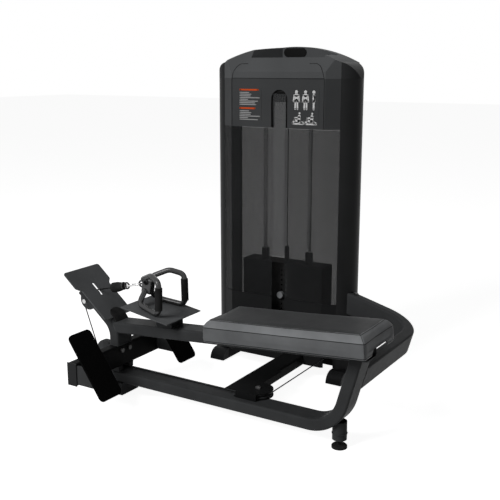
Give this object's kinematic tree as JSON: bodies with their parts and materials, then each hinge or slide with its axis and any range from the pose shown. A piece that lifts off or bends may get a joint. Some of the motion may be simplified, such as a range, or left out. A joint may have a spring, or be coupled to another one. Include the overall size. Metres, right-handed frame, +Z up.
{
  "type": "seated long-pull machine",
  "caption": "Seated long-pull gym machine: low bench on a bent tube frame, slanted foot plates, pin-selected weight tower, cable over pulleys and a close-grip handle.",
  "frame": {"origin": "middle of the footprint on the floor", "axes": "+Z up; +X along the bench, from the foot plates towards the seat; +Y from the bench towards the weight tower"},
  "size_m": [1.4758, 1.16, 1.5405],
  "materials": {
    "frame_paint": "satin black powder coat",
    "plate_paint": "textured black powder coat",
    "column_paint": "satin charcoal powder coat",
    "shroud_plastic": "fine-grained moulded charcoal",
    "window_tint": "smoked clear sheet",
    "rubber": "matte black",
    "cap_plastic": "matte black moulding",
    "upholstery": "grained black vinyl",
    "board": "plywood, black underside",
    "iron": "black painted plates",
    "chrome": "polished",
    "steel": "zinc plated",
    "dark_steel": "gloss black enamel",
    "pulley_plastic": "glass-filled nylon",
    "cable_jacket": "black jacket on steel cable",
    "knob": "grey",
    "label": "printed sheet"
  },
  "bodies": {
    "machine_frame": {"column_caps": "cap_plastic", "crown_badge": "label", "crown_cover": "shroud_plastic", "end_caps": "cap_plastic", "floor_pulley_brackets": "frame_paint", "foot_plate_gussets": "frame_paint", "foot_plates": "plate_paint", "frame_bolts": "steel", "front_beam": "frame_paint", "front_column": "frame_paint", "front_pulley_plates": "frame_paint", "front_spacers": "frame_paint", "guard_plate": "plate_paint", "guide_rods": "chrome", "handle_tray": "plate_paint", "kick_panel": "shroud_plastic", "levelling_glide": "rubber", "loop_tube": "frame_paint", "main_cable": "cable_jacket", "mid_cross_beam": "frame_paint", "placards": "label", "pull_cable": "cable_jacket", "pulley_axles": "steel", "rear_shroud": "shroud_plastic", "resting_weight_plates": "iron", "rubber_feet": "rubber", "seat_board": "board", "seat_pad": "upholstery", "seat_rail": "frame_paint", "selector_strip": "window_tint", "stack_bumpers": "rubber", "stack_cable": "cable_jacket", "stack_shelf": "frame_paint", "stop_pad": "rubber", "support_leg": "frame_paint", "sweep_tube": "frame_paint", "top_beam": "frame_paint", "top_pulley_plates": "frame_paint", "tower_columns": "column_paint", "tower_cross_member": "frame_paint", "tower_feet": "frame_paint", "tray_bracket": "frame_paint", "upper_panel": "shroud_plastic", "window_panel": "window_tint"},
    "lifted_stack": {"lifted_weight_plates": "iron", "stack_top_plate": "iron", "stack_bushes": "steel", "selector_stem": "steel"},
    "pin": {"selector_pin": "knob"},
    "pull_end": {"cable_stopper": "rubber", "swivel_eye": "steel"},
    "clip": {"carabiner": "chrome"},
    "row_handle": {"row_handle_frame": "dark_steel", "row_handle_grips": "rubber"},
    "high_front_pulley_wheel": {"high_front_pulley": "pulley_plastic"},
    "low_front_pulley_wheel": {"low_front_pulley": "pulley_plastic"},
    "corner_pulley_wheel": {"corner_pulley": "pulley_plastic"},
    "tower_base_pulley_wheel": {"tower_base_pulley": "pulley_plastic"},
    "top_side_pulley_wheel": {"top_side_pulley": "pulley_plastic"},
    "top_centre_pulley_wheel": {"top_centre_pulley": "pulley_plastic"}
  },
  "joints": [
    {"name": "stack_slide", "type": "slide", "parent": "machine_frame", "child": "lifted_stack", "axis": [0, 0, 1], "range_m": [0, 0.65], "deforming": ["stack_cable"]},
    {"name": "pin_pull", "type": "slide", "parent": "lifted_stack", "child": "pin", "axis": [0, -1, 0], "range_m": [0, 0.034]},
    {"name": "handle_pull", "type": "slide", "parent": "machine_frame", "child": "pull_end", "axis": [0.9703, 0, 0.2419], "range_m": [0, 0.65], "deforming": ["pull_cable"]},
    {"name": "clip_swing", "type": "hinge", "parent": "pull_end", "child": "clip", "pos_m": [-0.46496, -0.245, 0.50345], "axis": [0, -1, 0], "range_deg": [0, 30]},
    {"name": "handle_swing", "type": "hinge", "parent": "clip", "child": "row_handle", "pos_m": [-0.38055, -0.245, 0.5245], "axis": [0, -1, 0], "range_deg": [0, 45]},
    {"name": "high_pulley_spin", "type": "hinge", "parent": "machine_frame", "child": "high_front_pulley_wheel", "pos_m": [-0.69048, -0.245, 0.406], "axis": [0, 1, 0], "continuous": true},
    {"name": "low_pulley_spin", "type": "hinge", "parent": "machine_frame", "child": "low_front_pulley_wheel", "pos_m": [-0.59398, -0.245, 0.175], "axis": [0, 1, 0], "continuous": true},
    {"name": "corner_pulley_spin", "type": "hinge", "parent": "machine_frame", "child": "corner_pulley_wheel", "pos_m": [0.18152, -0.19, 0.125], "axis": [0, 0, 1], "continuous": true},
    {"name": "base_pulley_spin", "type": "hinge", "parent": "machine_frame", "child": "tower_base_pulley_wheel", "pos_m": [0.23652, 0.408, 0.162], "axis": [1, 0, 0], "continuous": true},
    {"name": "side_pulley_spin", "type": "hinge", "parent": "machine_frame", "child": "top_side_pulley_wheel", "pos_m": [0.19652, 0.445, 1.39], "axis": [0, 1, 0], "continuous": true},
    {"name": "centre_pulley_spin", "type": "hinge", "parent": "machine_frame", "child": "top_centre_pulley_wheel", "pos_m": [0.00102, 0.445, 1.39], "axis": [0, 1, 0], "continuous": true}
  ],
  "couplings": [
    {"joint": "handle_pull", "follows": "stack_slide", "ratio": 1},
    {"joint": "high_pulley_spin", "follows": "stack_slide", "rad_per_m": 25},
    {"joint": "low_pulley_spin", "follows": "stack_slide", "rad_per_m": 20},
    {"joint": "corner_pulley_spin", "follows": "stack_slide", "rad_per_m": -18.182},
    {"joint": "base_pulley_spin", "follows": "stack_slide", "rad_per_m": -27.027},
    {"joint": "side_pulley_spin", "follows": "stack_slide", "rad_per_m": 25},
    {"joint": "centre_pulley_spin", "follows": "stack_slide", "rad_per_m": 25}
  ]
}
